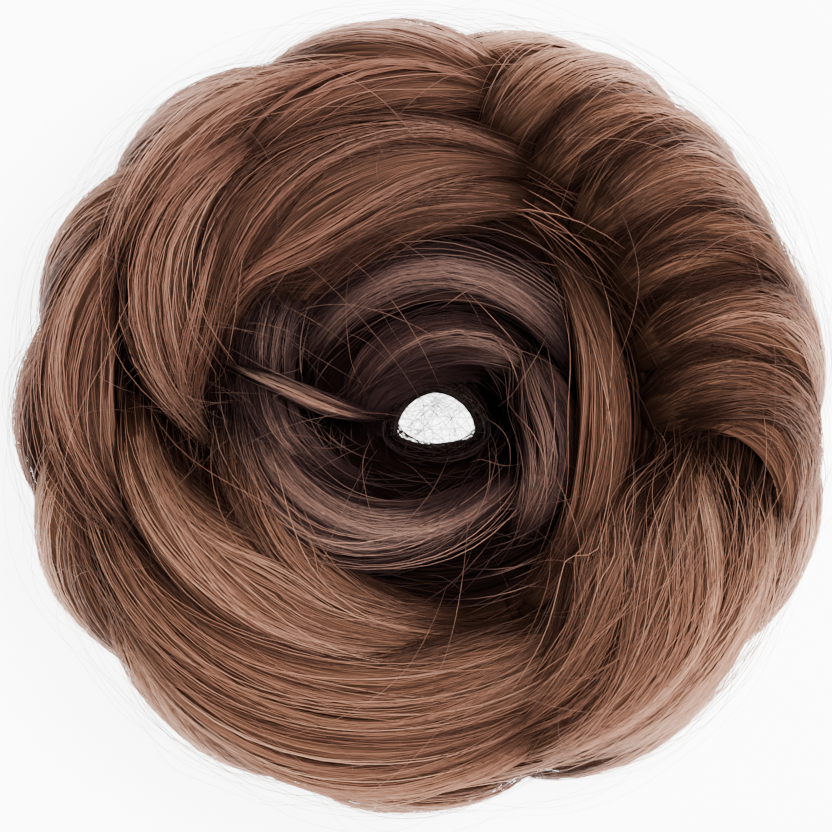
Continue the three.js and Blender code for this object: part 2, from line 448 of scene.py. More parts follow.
class LockShaper:
    """Lays strands and the under-hair of locks on the ring."""

    def __init__(self, form: BunForm, cut: HairCut, shading: Shading) -> None:
        """Keeps the ring's form, how its hair is cut and how it is shaded."""
        self.form = form
        self.cut = cut
        self.shading = shading
        self.top = HairTop()

    def beside(self, lock: Lock, t: np.ndarray, aside: np.ndarray) -> tuple[np.ndarray, np.ndarray]:
        """Gives places beside a lock's own path.

        Args:
            lock: The lock.
            t: Shares of the way along it.
            aside: How far to the side of the path, in metres.

        Returns:
            The places' angles and turns, in degrees.
        """
        angle, turn = through(lock.angle, t), through(lock.turn, t)
        tiny = 0.01
        ahead = self.form.place(through(lock.angle, t + tiny), through(lock.turn, t + tiny))
        behind = self.form.place(through(lock.angle, t - tiny), through(lock.turn, t - tiny))
        by_angle, by_turn, normal = self.form.slopes(angle, turn)
        across = unit(np.cross(unit(ahead - behind), normal))
        angle_rate = (across * by_angle).sum(-1) / (by_angle ** 2).sum(-1)
        turn_rate = (across * by_turn).sum(-1) / (by_turn ** 2).sum(-1)
        return angle + aside * angle_rate, turn + aside * turn_rate

    def raised(self, angle: np.ndarray, turn: np.ndarray, height: np.ndarray) -> tuple[np.ndarray, np.ndarray]:
        """Gives points over the ring, kept clear of the floor, and the outward directions there."""
        _, _, out = self.form.slopes(angle, turn)
        points = self.form.place(angle, turn) + out * height[..., None]
        points[..., 2] = np.maximum(points[..., 2], self.cut.floor_clear)
        return points, out

    def fullness(self, t: np.ndarray) -> tuple[np.ndarray, np.ndarray]:
        """Gives how wide and how deep a lock is along its length, as shares of its middle."""
        cut = self.cut
        inside = np.sin(np.pi * np.clip(t, 0, 1))
        wide = cut.end_width + (1 - cut.end_width) * inside ** cut.width_rounding
        deep = cut.end_depth + (1 - cut.end_depth) * inside ** cut.depth_rounding
        return wide, deep

    def length(self, lock: Lock) -> float:
        """Gives a lock's length along the ring."""
        t = np.linspace(0, 1, 40)
        run = self.form.place(through(lock.angle, t), through(lock.turn, t))
        return float(np.linalg.norm(np.diff(run, axis=0), axis=1).sum())

    def steps(self, lock: Lock) -> int:
        """Gives how many segments a lock's strands have."""
        return int(np.clip(round(self.length(lock) / self.cut.segment), 9, 19))

    def strands(self, lock: Lock, count: int, rng: np.random.Generator, stray: bool) -> Strands:
        """Lays a lock's strands in tresses and clumps, some of them under it, or its stray strands over it.

        Args:
            lock: The lock.
            count: How many strands it gets.
            rng: The seeded source of chance.
            stray: Whether these are its stray strands.

        Returns:
            The strands, not yet shaded by depth.
        """
        cut = self.cut
        s = np.linspace(0, 1, (cut.stray_steps if stray else self.steps(lock)) + 1)[None, :]
        half_width, half_depth = lock.width * cut.lock_width / 2, lock.depth * cut.lock_depth / 2
        tresses = max(round(2 * half_width / cut.tress_width), 2)
        clumps = tresses * max(round(1.6 * cut.tress_width / cut.clump_width), 4)
        of_clump = rng.integers(0, clumps, count)
        of_tress = of_clump % tresses

        def per_tress(values: np.ndarray) -> np.ndarray:
            return values[of_tress][:, None]

        def per_clump(values: np.ndarray) -> np.ndarray:
            return values[of_clump][:, None]

        middle = per_tress((np.arange(tresses) + rng.uniform(0.25, 0.75, tresses)) / tresses * 2 - 1)
        lean = per_tress(rng.normal(0, 0.3, tresses)) * lock.mess
        level = per_tress(rng.uniform(0, 1, tresses))
        phase = per_tress(rng.uniform(0, 2 * np.pi, tresses))
        start = per_tress(rng.uniform(-0.12, 0.0, tresses)) + rng.uniform(-0.04, 0.05, (count, 1))
        end = per_tress(rng.uniform(0.96, 1.12, tresses)) - np.abs(rng.normal(0, 0.06, (count, 1)))
        t = start + (end - start) * s
        wide, deep = self.fullness(t)
        clump_aside = per_clump(rng.uniform(-1, 1, clumps))
        loose = 0.1 + 0.2 * np.abs(2 * t - 1)
        inside = clump_aside + rng.normal(0, 1, (count, 1)) * loose
        share = middle + lean * (t - 0.5) + 0.1 * np.sin(2 * np.pi * 0.8 * t + phase)
        share = share + 1.15 / tresses * inside
        kind = rng.uniform(0, 1, count)[:, None]
        under = (kind < cut.under_share).astype(float) * (not stray)
        share = share * cut.spread * (1 + 0.15 * under)
        core_share = share + lock.shift
        clump_phase = per_clump(rng.uniform(0, 2 * np.pi, clumps))
        wave = cut.wave * lock.mess * np.sin(2 * np.pi * 0.9 * t + phase)
        wave = wave + 0.3 * cut.wave * np.sin(2 * np.pi * 1.9 * t + clump_phase)
        own = 0.12 * cut.wave * np.sin(2 * np.pi * 3.1 * t + rng.uniform(0, 6.28, (count, 1)))
        bow = rng.normal(0, 2.2 * MM, (count, 1)) * np.sin(np.pi * s)
        slant = rng.normal(0, 4 * MM, (count, 1)) * (s - 0.5)
        aside = core_share * half_width * wide + wave + own + stray * lock.mess ** 0.5 * (bow + slant)
        crown = cut.crown_rise * np.clip(1 - core_share ** 2, 0, 1) ** 0.85
        rounded = np.sqrt(np.clip(1 - inside ** 2, 0, 1))
        height = through(lock.lift, t) * cut.lock_depth + crown * half_depth * deep
        height = height + cut.tress_rise * deep * (level + 0.9 * rounded - 0.6)
        height = height - rng.gamma(1.5, 0.3 * MM, (count, 1))
        height = np.maximum(height - under * rng.uniform(*cut.under_depth, (count, 1)), 0.1 * MM)
        rise = np.abs(rng.normal(0, 0.9 * MM, (count, 1))) * np.sin(np.pi * s) + 0.3 * MM
        height = height + stray * rise
        sink = lock.root * cut.root_sink * (1 - smooth(-0.1, 0.22, t)) + lock.tip * cut.tip_sink * smooth(0.84, 1.1, t)
        height = height - sink * (1 - 0.6 * stray)
        angle, turn = self.beside(lock, t, aside)
        thick = cut.radius * np.exp(rng.normal(0, 0.22, (count, 1))) * (1 - 0.25 * stray)
        taper = (0.4 + 0.6 * smooth(0, 0.1, s)) * (0.2 + 0.8 * (1 - smooth(0.7, 1.0, s)))
        light = (rng.uniform(0, 1, (count, 1)) < cut.light_share).astype(float)
        tone = cut.base_tone + lock.tone + per_tress(rng.normal(0, 0.05, tresses)) + per_clump(rng.normal(0, 0.06, clumps))
        # Strands that lie under the lock are 0.12 darker: painted shade; the light strands and strays are lighter in
        # colour.
        tone = tone + rng.normal(0, 0.05, (count, 1)) + 0.14 * light + 0.08 * stray - 0.12 * under
        # Painted shade: strands grow darker towards the lock's edges, for a rounded look.
        tone = tone - cut.edge_painted_shade * smooth(0.45, 1.0, np.abs(share))
        return Strands(angle, np.minimum(turn, 172), height, thick * taper, tone)

    def lining(self, angles: tuple[float, float], turns: tuple[float, float], count: int,
               rng: np.random.Generator) -> Strands:
        """Lays low hair along the sewn ring, which shows between locks and underneath.

        Args:
            angles: Where the stretch starts and ends round the bun.
            turns: Where it starts and ends round the tube.
            count: How many strands it gets.
            rng: The seeded source of chance.

        Returns:
            The strands.
        """
        s = np.linspace(0, 1, 11)[None, :]
        span = min(angles[1] - angles[0], 75)
        start = rng.uniform(angles[0] - 4, angles[1] - span * 0.6, (count, 1))
        angle = start + span * rng.uniform(0.6, 1.0, (count, 1)) * s
        turn = rng.uniform(turns[0] - 4, turns[1] + 4, (count, 1)) + rng.normal(0, 12, (count, 1)) * (s - 0.5)
        height = rng.uniform(0, 1.8 * MM, (count, 1)) + 0.5 * MM * np.sin(np.pi * s)
        height = height * (1 - 0.85 * smooth(135, 160, turn))
        radius = self.cut.radius * 1.15 * (1 - 0.8 * smooth(0.8, 1.0, s)) + 0 * start
        tone = rng.normal(0.45, 0.08, (count, 1)) + 0 * s
        return Strands(angle, turn, height, radius, tone)

    def shade(self, strands: Strands, points: np.ndarray) -> None:
        """Paints shade on deep hair and in the throat, and paints light on the rim.

        Args:
            strands: The strands, whose shades it changes.
            points: Where they lie.
        """
        rule = self.shading
        # Painted shade: hair lying deeper below the top grows darker.
        depth = self.top.at(strands.angle, strands.turn) - strands.height - rule.depth_free
        strands.tone = strands.tone - rule.depth_painted_shade * np.clip(depth / rule.depth_full, 0, 1)
        # Painted shade: strands near the open middle grow darker.
        away = np.hypot(points[..., 0] - rule.throat_middle[0], points[..., 1] - rule.throat_middle[1])
        strands.tone = strands.tone - rule.throat_painted_shade * smooth(*rule.throat_radii, away)
        # Painted light: strands near the rim grow lighter.
        strands.tone = strands.tone + rule.rim_painted_light * smooth(*rule.rim_turns, strands.turn)
        strands.tone = np.clip(strands.tone, rule.darkest, 0.99)

    def core(self, lock: Lock) -> "Loft":
        """Gives a lock's under-hair.

        Args:
            lock: The lock.

        Returns:
            Its form, with two ends.
        """
        cut = self.cut
        t = np.linspace(0.02, 0.98, 25)[:, None]
        round_angle = np.linspace(0, 2 * np.pi, 19)[None, :-1]
        wide, deep = self.fullness(t)
        outer = lock.turn[1] < 20
        taper = np.sin(np.pi * t) ** (0.12 if outer else 0.25)
        share = np.cos(round_angle) * (cut.outer_core_share if outer else cut.core_share) * taper
        aside = share * lock.width * cut.lock_width / 2 * wide
        crown = cut.crown_rise * np.clip(1 - share ** 2, 0, 1) ** 0.85 * lock.depth * cut.lock_depth / 2 * deep
        inset = cut.core_inset * (0.3 if outer else 1.0)
        upper = through(lock.lift, t) * cut.lock_depth + crown - inset
        lower = -cut.core_base + 0 * upper
        mixed = (0.5 + 0.5 * np.sin(round_angle)) ** 0.7
        height = lower + np.maximum(upper - lower, 0.2 * MM) * mixed
        angle, turn = self.beside(lock, np.broadcast_to(t, aside.shape), aside)
        points, _ = self.raised(angle, turn, height)
        return Loft(points)

    def backing(self, angles: tuple[float, float], turns: tuple[float, float]) -> "Loft":
        """Gives a stretch of the sewn ring.

        Args:
            angles: Where it starts and ends round the bun.
            turns: Where its section starts and ends round the tube.

        Returns:
            Its form.
        """
        whole = angles[1] - angles[0] == 360
        rows = int((angles[1] - angles[0]) / 3)
        angle = np.linspace(*angles, rows + (not whole), endpoint=not whole)[:, None]
        turn = np.linspace(*turns, 31)[None, :]
        angle, turn = np.broadcast_arrays(angle, turn)
        points, _ = self.raised(angle, turn, np.full(angle.shape, -self.cut.backing_inset))
        # The backing takes only the dark start of the map: painted shade on the sewn ring under the hair.
        return Loft(points, whole, 0.05)


@dataclass
class Loft:
    """Rows of points round closed sections, whether they go whole round, and how much of the map they take."""

    rows: np.ndarray
    whole: bool = False
    reach: float = 1.0


def loft_arrays(form: Loft, first: int) -> tuple[np.ndarray, ...]:
    """Turns rows of points round closed sections into faces.

    Args:
        form: The rows.
        first: The number of the first point among all the points of the mesh.

    Returns:
        Points, quads, triangles and map places.
    """
    rows, whole = form.rows, form.whole
    count, sides = rows.shape[:2]
    number = first + np.arange(count * sides).reshape(count, sides)
    after = np.roll(number, -1, axis=1)
    if whole:
        ahead, ahead_after = np.roll(number, -1, axis=0), np.roll(after, -1, axis=0)
        quads = np.stack([number, ahead, ahead_after, after], axis=-1)
    else:
        quads = np.stack([number[:-1], number[1:], after[1:], after[:-1]], axis=-1)
    points = rows.reshape(-1, 3)
    share = np.linspace(0.01, 0.99, count)[:, None] * form.reach
    across = 0.5 - 0.49 * np.cos(2 * np.pi * np.arange(sides) / sides)[None, :]
    uv = np.stack(np.broadcast_arrays(share, across), axis=-1).reshape(-1, 2)
    tris = np.empty((0, 3), dtype=int)
    if not whole:
        middles = rows[[0, -1]].mean(axis=1)
        points = np.concatenate([points, middles])
        uv = np.concatenate([uv, [[0.0, 0.5], [1.0, 0.5]]])
        low, high = first + count * sides, first + count * sides + 1
        start = np.stack([np.full(sides, low), number[0], after[0]], axis=-1)
        finish = np.stack([np.full(sides, high), after[-1], number[-1]], axis=-1)
        tris = np.concatenate([start, finish])
    return points, quads.reshape(-1, 4), tris, uv


def lofted_object(name: str, forms: list[Loft]) -> bpy.types.Object:
    """Joins several lofted forms into one object with its faces pointing out.

    Args:
        name: The object's name.
        forms: The forms.

    Returns:
        The object.
    """
    parts = []
    first = 0
    for form in forms:
        part = loft_arrays(form, first)
        first += len(part[0])
        parts.append(part)
    made = mesh_object(name, *(np.concatenate([part[place] for part in parts]) for place in range(4)))
    select_only(made)
    bpy.ops.object.mode_set(mode="EDIT")
    bpy.ops.mesh.select_all(action="SELECT")
    bpy.ops.mesh.normals_make_consistent(inside=False)
    bpy.ops.object.mode_set(mode="OBJECT")
    return made


def select_only(wanted: bpy.types.Object) -> None:
    """Selects one object and makes it active."""
    bpy.ops.object.select_all(action="DESELECT")
    wanted.select_set(True)
    bpy.context.view_layer.objects.active = wanted


@dataclass(frozen=True)
class HairFinish:
    """Drawn synthetic fibre, dyed brown: satin, with its gloss in a line along each strand."""

    name: str
    shades: tuple[str, str, str, str, str]
    roughness: float = 0.38
    gloss: float = 0.42
    gloss_tint: str = "#DDB9A6"

    def material(self) -> bpy.types.Material:
        """Builds the strands' material, whose shade is read from each strand's own strip of the map."""
        material = bpy.data.materials.new(self.name)
        material.use_nodes = True
        tree = material.node_tree
        tree.nodes.clear()
        uv = add_node(tree, "ShaderNodeUVMap", {"uv_map": UV_MAP})
        split = add_node(tree, "ShaderNodeSeparateXYZ", links={0: uv.outputs[0]})
        shade = add_node(tree, "ShaderNodeValToRGB", links={0: split.outputs["Y"]})
        set_ramp(shade, [(0.02, self.shades[0]), (0.28, self.shades[1]), (0.5, self.shades[2]),
                         (0.74, self.shades[3]), (0.98, self.shades[4])])
        # Painted shade at the strands' ends: roots and tips, which sink under other hair, are darker.
        along = add_node(tree, "ShaderNodeValToRGB", links={0: split.outputs["X"]})
        set_ramp(along, [(0.0, "#4C4C4C"), (0.2, "#C4C4C4"), (0.45, "#FFFFFF"), (0.85, "#F0F0F0"), (1.0, "#B4B4B4")])
        stretch = add_node(tree, "ShaderNodeMapping", links={0: uv.outputs[0]})
        stretch.inputs["Scale"].default_value = (7.0, 160.0, 1.0)
        mottle = add_node(tree, "ShaderNodeTexNoise", values={"Scale": 1.0, "Detail": 2.0}, links={0: stretch.outputs[0]})
        vary = add_node(tree, "ShaderNodeMapRange", values={"To Min": 0.8, "To Max": 1.2}, links={0: mottle.outputs[0]})
        end_shaded = add_node(tree, "ShaderNodeMix", {"data_type": "RGBA", "blend_type": "MULTIPLY"}, {0: 1.0},
                        {6: shade.outputs[0], 7: along.outputs[0]})
        tinted = add_node(tree, "ShaderNodeVectorMath", {"operation": "SCALE"}, None,
                          {0: end_shaded.outputs[2], "Scale": vary.outputs[0]})
        gloss = add_node(tree, "ShaderNodeMapRange", None,
                         {"From Min": 0.12, "From Max": 0.6, "To Min": 0.0, "To Max": self.gloss},
                         {0: split.outputs["Y"]})
        surface = add_node(tree, "ShaderNodeBsdfPrincipled", None,
                           {"Roughness": self.roughness, "Specular Tint": linear(self.gloss_tint)},
                           {"Base Color": tinted.outputs[0], "Specular IOR Level": gloss.outputs[0]})
        add_node(tree, "ShaderNodeOutputMaterial", links={0: surface.outputs[0]})
        return material


@dataclass(frozen=True)
class ShadedUnderHairFinish:
    """The packed fibres under the strands, painted dark as shade, with fine streaks along each lock."""

    name: str
    shades: tuple[str, str, str]
    streaks: float = 120.0

    def material(self) -> bpy.types.Material:
        """Builds the under-hair's material, streaked along its map's length."""
        material = bpy.data.materials.new(self.name)
        material.use_nodes = True
        tree = material.node_tree
        tree.nodes.clear()
        uv = add_node(tree, "ShaderNodeUVMap", {"uv_map": UV_MAP})
        stretch = add_node(tree, "ShaderNodeMapping", links={0: uv.outputs[0]})
        stretch.inputs["Scale"].default_value = (3.0, self.streaks, 1.0)
        noise = add_node(tree, "ShaderNodeTexNoise", values={"Scale": 1.0, "Detail": 4.0, "Roughness": 0.65},
                         links={0: stretch.outputs[0]})
        shade = add_node(tree, "ShaderNodeValToRGB", links={0: noise.outputs[0]})
        set_ramp(shade, [(0.36, self.shades[0]), (0.5, self.shades[1]), (0.66, self.shades[2])])
        bump = add_node(tree, "ShaderNodeBump", None, {"Strength": 0.5, "Distance": 0.15 * MM}, {"Height": noise.outputs[0]})
        split = add_node(tree, "ShaderNodeSeparateXYZ", links={0: uv.outputs[0]})
        # Painted shade at the ends of each lock, and on the backing and lip, which take the start of the map.
        along = add_node(tree, "ShaderNodeValToRGB", links={0: split.outputs["X"]})
        set_ramp(along, [(0.06, "#585858"), (0.3, "#FFFFFF"), (0.8, "#FFFFFF"), (0.97, "#606060")])
        end_shaded = add_node(tree, "ShaderNodeMix", {"data_type": "RGBA", "blend_type": "MULTIPLY"}, {0: 1.0},
                        {6: shade.outputs[0], 7: along.outputs[0]})
        surface = add_node(tree, "ShaderNodeBsdfPrincipled", None,
                           {"Roughness": 0.8, "Specular IOR Level": 0.0},
                           {"Base Color": end_shaded.outputs[2], "Normal": bump.outputs[0]})
        add_node(tree, "ShaderNodeOutputMaterial", links={0: surface.outputs[0]})
        return material


class Tint(Enum):
    """The shades of dyed fibre on the piece, from dark to light, as they are without any gloss; painted shade takes
    strands towards the dark end and painted light on the rim towards the light end.
    """

    GOLDEN = ("#1A0F0C", "#422A21", "#7B5341", "#AD8069", "#D3AB92")
    MID = ("#170D0B", "#3A241D", "#6C4638", "#9C7260", "#C69D89")
    DARK = ("#150D0D", "#302120", "#5E443C", "#956A58", "#BE9780")

    def under(self) -> tuple[str, str, str]:
        """Gives the shades of the packed fibre under strands of this tint: the tint's darker half, as painted shade on
        hair that lies under the strands.
        """
        return {
            Tint.GOLDEN: ("#120A07", "#38241B", "#6E4A39"),
            Tint.MID: ("#100907", "#301F18", "#614133"),
            Tint.DARK: ("#0C0707", "#241716", "#4A312A"),
        }[self]


@dataclass(frozen=True)
class Throat:
    """The open middle as it shows from above, domed towards the back and flat towards the front."""

    middle: tuple[float, float] = (2.6 * MM, -2.9 * MM)
    half_width: float = 6.9 * MM
    rise: float = 7.0 * MM
    drop: float = 2.0 * MM
    lip_radius: float = 2.3 * MM
    lip_height: float = 17 * MM

    def around(self, angle: np.ndarray, out: np.ndarray) -> tuple[np.ndarray, np.ndarray]:
        """Gives places in plan round the opening.

        Args:
            angle: Degrees round it.
            out: How far outside it, in metres.

        Returns:
            The places' x and y.
        """
        across, up = np.cos(np.radians(angle)), np.sin(np.radians(angle))
        high = np.where(up > 0, self.rise, self.drop)
        x = self.middle[0] + (self.half_width + out) * across * np.abs(across) ** 0.15
        return x, self.middle[1] + (high + out) * up

    def lip(self) -> Loft:
        """Gives the soft lip of packed hair round the opening, at the dark start of the map, which paints it in shade.
        """
        angle = np.linspace(0, 360, 60, endpoint=False)[:, None]
        round_angle = np.linspace(0, 2 * np.pi, 14, endpoint=False)[None, :]
        out = self.lip_radius * (1.15 + np.cos(round_angle))
        x, y = self.around(angle, out)
        z = self.lip_height + 1.6 * self.lip_radius * np.sin(round_angle) + 0 * angle
        return Loft(np.stack([x, y, z], axis=-1), True, 0.05)


@dataclass
class Weft:
    """A weft: a stretch of the sewn ring with its locks."""

    node: str
    slot: str
    angles: tuple[float, float]
    turns: tuple[float, float]
    tint: Tint
    triangles: int
    locks: list[Lock]
    lining_share: float = 0.14
    lips: tuple["Throat", ...] = ()
    laid: list[Strands] = field(default_factory=list)

    def lay(self, shaper: LockShaper, order: int) -> None:
        """Lays the weft's strands, so that every weft's are known before any is shaded.

        Args:
            shaper: Lays hair on the ring.
            order: The weft's place among the wefts, for its own seed.
        """
        rng = np.random.default_rng(SEED + order)
        lining = int(self.triangles * self.lining_share / 62)
        self.laid.append(shaper.lining(self.angles, self.turns, lining, rng))
        areas = [shaper.length(lock) * lock.width * lock.fill for lock in self.locks]
        cost = sum(area * (6 * shaper.steps(lock) + 2) for area, lock in zip(areas, self.locks))
        for lock, area in zip(self.locks, areas):
            count = int(self.triangles * (1 - self.lining_share) * area / cost)
            strays = int(count * shaper.cut.stray_share * lock.mess)
            packed = shaper.strands(lock, count - 2 * strays, rng, False)
            shaper.top.note(packed)
            self.laid += [packed, shaper.strands(lock, strays, rng, True)]

    def build(self, shaper: LockShaper) -> list[bpy.types.Object]:
        """Builds the weft's under-hair, which replaces its solid, and its strands.

        Args:
            shaper: Lays hair on the ring.

        Returns:
            The finished pieces.
        """
        forms = [shaper.backing(self.angles, self.turns)] + [shaper.core(lock) for lock in self.locks]
        forms += [lip.lip() for lip in self.lips]
        under = lofted_object(self.node + "_underhair", forms)
        under.data.materials.append(ShadedUnderHairFinish("packed fibre " + self.tint.name.lower(), self.tint.under()).material())
        hair_mesh = StrandMesh()
        for strands in self.laid:
            points, out = shaper.raised(strands.angle, strands.turn, strands.height)
            shaper.shade(strands, points)
            hair_mesh.add(eased(points), out, strands.radius, strands.tone)
        hair = hair_mesh.joined(self.node + "_strands")
        hair.data.materials.append(HairFinish("drawn fibre " + self.tint.name.lower(), self.tint.value).material())
        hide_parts(self.node)
        for piece in (under, hair):
            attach(piece, "root")
        return [under, hair]


OUTER = (-135.0, 104.0)
INNER = (104.0, 225.0)


def wefts() -> list[Weft]:
    """Lists the wefts from the lowest to the one over all the others.

    Returns:
        The wefts, with their locks' runs as in the solids.
    """
    inner = [
        Lock((205, 125, 45), (154, 152, 148), (0, 0.05, 0), 0.55, 0.5),
        Lock((44, -8, -62), (130, 126, 116), (0, 0.12, 0), 0.6, 0.8),
        Lock((176, 100, 26), (146, 138, 132), (0, 0.1, 0), 0.55, 0.7),
        Lock((118, 170, 236), (101, 113, 137), (0, 0.2, 0), 0.6, 0.75, tone=-0.1),
        Lock((160, 92, 14), (123, 117, 115), (0, 0.2, 0), 0.62, 0.8, tone=-0.08, shift=-0.4),
        Lock((168, 240, 316), (110, 119, 137), (0, 0.42, 0.1), 0.72, 0.85, tone=0.06, shift=0.35),
        Lock((165, 171, 178), (103, 126, 150), (0.8, 0.85, 0.75), 0.2, 0.35, tone=0.05, root=0.3, mess=0.6),
    ]
    sweep = [
        Lock((292, 268, 244), (-38, -2, 30), (0, 0.2, 0.1), 1, 0.9),
        Lock((264, 238, 210), (-40, -2, 36), (0, 0.28, 0.1), 1, 0.9),
        Lock((230, 206, 182), (-42, -2, 38), (0, 0.3, 0.1), 1, 0.9),
        Lock((226, 258, 294), (20, 36, 48), (0.1, 0.3, 0.1), 0.8, 0.85),
        Lock((204, 250, 298), (36, 51, 68), (0.1, 0.32, 0.1), 0.85, 0.9),
        Lock((176, 228, 284), (108, 103, 100), (0, 0.25, 0), 0.75, 0.85),
        Lock((174, 226, 288), (68, 88, 94), (0.1, 0.35, 0.1), 0.8, 0.9, tone=0.04),
        Lock((188, 248, 308), (48, 72, 82), (0.1, 0.4, 0.1), 0.9, 0.9),
    ]
    fall = [
        Lock((-34, -56, -80), (32, -4, -40), (0.1, 0.3, 0), 1, 0.9, mess=1.6, tone=-0.02),
        Lock((-14, -46, -82), (101, 86, 54), (0, 0.25, 0.1), 0.8, 0.85, mess=2.2, tone=0.0),
        Lock((-12, -40, -70), (44, 32, -4), (0.1, 0.3, 0.1), 0.85, 0.85, mess=2.2, tone=0.0),
        Lock((-6, -40, -78), (82, 66, 28), (0.1, 0.4, 0.2), 0.8, 0.85, mess=2.2, tone=0.0),
    ]
    crown = [
        Lock((202, 180, 158), (-42, 0, 42), (0, 0.3, 0.1), 1, 0.9, tone=-0.08),
        Lock((178, 155, 133), (-42, 0, 42), (0, 0.32, 0.1), 1, 0.9),
        Lock((153, 130, 107), (-42, 0, 42), (0, 0.32, 0.1), 1, 0.9),
        Lock((126, 100, 74), (-42, 0, 40), (0, 0.25, 0.1), 1, 0.9, tone=0.06),
        Lock((206, 172, 140), (62, 46, 40), (0.1, 0.3, 0.1), 0.85, 0.85, root=0.3, mess=1.6),
        Lock((164, 130, 94), (54, 42, 38), (0.1, 0.32, 0.1), 0.85, 0.85, mess=1.6),
        Lock((186, 147, 108), (98, 74, 54), (0.1, 0.35, 0.1), 0.85, 0.85, tone=0.08, root=0.3, mess=1.4),
        Lock((138, 106, 76), (68, 60, 50), (0.1, 0.35, 0.1), 0.75, 0.85),
        Lock((162, 108, 62), (107, 102, 92), (0, 0.3, 0.1), 0.72, 0.85, tone=-0.14),
        Lock((180, 118, 66), (98, 87, 80), (0.1, 0.45, 0.1), 0.85, 0.9, root=0.3, tone=-0.1),
    ]
    curl = [
        Lock((88, 70, 49), (24, -6, -42), (0.1, 0.28, 0), 0.95, 0.9, tone=0.08),
        Lock((60, 40, 18), (14, -14, -44), (0.1, 0.25, 0), 0.95, 0.9, tone=0.1),
        Lock((32, 10, -14), (12, -16, -44), (0.1, 0.25, 0), 0.95, 0.9, tone=0.1),
        Lock((0, -24, -50), (22, -8, -42), (0.1, 0.25, 0), 0.95, 0.9, tone=0.1),
        Lock((58, 2, -68), (99, 109, 97), (0, 0.35, 0), 0.46, 0.8, tone=-0.06, mess=0.7),
        Lock((-2, 4, -26), (101, 57, 0), (0, 0.42, 0.1), 1, 0.9, tone=-0.18, root=1.5),
        Lock((15, 16, -11), (103, 54, 2), (0, 0.42, 0.1), 0.95, 0.9, tone=-0.12, root=1.5),
        Lock((33, 30, 3), (101, 50, 0), (0, 0.42, 0.1), 0.95, 0.9, tone=-0.18, root=1.5),
        Lock((50, 43, 15), (97, 45, -2), (0, 0.42, 0.1), 0.95, 0.9, tone=-0.12, root=1.5),
        Lock((64, 54, 26), (88, 36, -8), (0, 0.42, 0.1), 0.95, 0.9, tone=-0.14, root=1.3),
        Lock((77, 64, 40), (78, 24, -14), (0, 0.42, 0.1), 0.9, 0.85),
    ]
    return [
        Weft("inner_weft", "hair_dark", (0, 360), INNER, Tint.DARK, 150_000, inner, lips=(Throat(),)),
        Weft("sweep_weft", "hair_light", (185, 292), OUTER, Tint.GOLDEN, 190_000, sweep),
        Weft("fall_weft", "hair_light", (292, 335), OUTER, Tint.GOLDEN, 130_000, fall),
        Weft("crown_weft", "hair_brown", (72, 185), OUTER, Tint.MID, 195_000, crown),
        Weft("curl_weft", "hair_brown", (-25, 72), OUTER, Tint.GOLDEN, 195_000, curl),
    ]


@dataclass(frozen=True)
class ElasticFinish:
    """Braided polyester over rubber: matte, nearly black brown, with a fine slanting braid."""

    name: str = "braided elastic cover"
    dark: str = "#1C1412"
    light: str = "#3A2B27"

    def material(self) -> bpy.types.Material:
        """Builds the braid's material from the piece's own map."""
        material = bpy.data.materials.new(self.name)
        material.use_nodes = True
        tree = material.node_tree
        tree.nodes.clear()
        uv = add_node(tree, "ShaderNodeUVMap", {"uv_map": UV_MAP})
        turned = add_node(tree, "ShaderNodeMapping", links={0: uv.outputs[0]})
        turned.inputs["Scale"].default_value = (60.0, 8.0, 1.0)
        braid = add_node(tree, "ShaderNodeTexWave", {"bands_direction": "DIAGONAL"},
                         {"Scale": 1.0, "Distortion": 0.6}, {0: turned.outputs[0]})
        shade = add_node(tree, "ShaderNodeValToRGB", links={0: braid.outputs["Fac"]})
        set_ramp(shade, [(0.2, self.dark), (0.8, self.light)])
        bump = add_node(tree, "ShaderNodeBump", None, {"Strength": 0.7, "Distance": 0.2 * MM}, {"Height": braid.outputs["Fac"]})
        surface = add_node(tree, "ShaderNodeBsdfPrincipled", None, {"Roughness": 0.85, "Sheen Weight": 0.3},
                           {"Base Color": shade.outputs[0], "Normal": bump.outputs[0]})
        add_node(tree, "ShaderNodeOutputMaterial", links={0: surface.outputs[0]})
        return material


@dataclass
class ElasticBand:
    """The covered elastic loop that the wefts are sewn to, underneath."""

    thickness: float = 5 * MM

    def build(self, form: BunForm) -> bpy.types.Object:
        """Builds the band as a torus drawn to the oval of the ring's foot.

        Args:
            form: The ring's form.

        Returns:
            The finished band.
        """
        foot = form.place(np.array([0.0, 90.0, 180.0, 270.0]), np.full(4, form.band_turn))
        across, along = (foot[0, 0] - foot[2, 0]) / 2, (foot[1, 1] - foot[3, 1]) / 2
        bpy.ops.mesh.primitive_torus_add(major_segments=120, minor_segments=16, major_radius=across,
                                         minor_radius=self.thickness / 2, generate_uvs=True)
        band = bpy.context.active_object
        band.name = "elastic_band_cover"
        band.data.uv_layers[0].name = UV_MAP
        select_only(band)
        bpy.ops.object.mode_set(mode="EDIT")
        bpy.ops.mesh.select_all(action="SELECT")
        bpy.ops.transform.resize(value=(1, along / across, 1))
        bpy.ops.transform.translate(value=((foot[0, 0] + foot[2, 0]) / 2, (foot[1, 1] + foot[3, 1]) / 2, foot[0, 2]))
        bpy.ops.mesh.faces_shade_smooth()
        bpy.ops.object.mode_set(mode="OBJECT")
        band.data.materials.append(ElasticFinish().material())
        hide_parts("elastic_band")
        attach(band, "root")
        return band


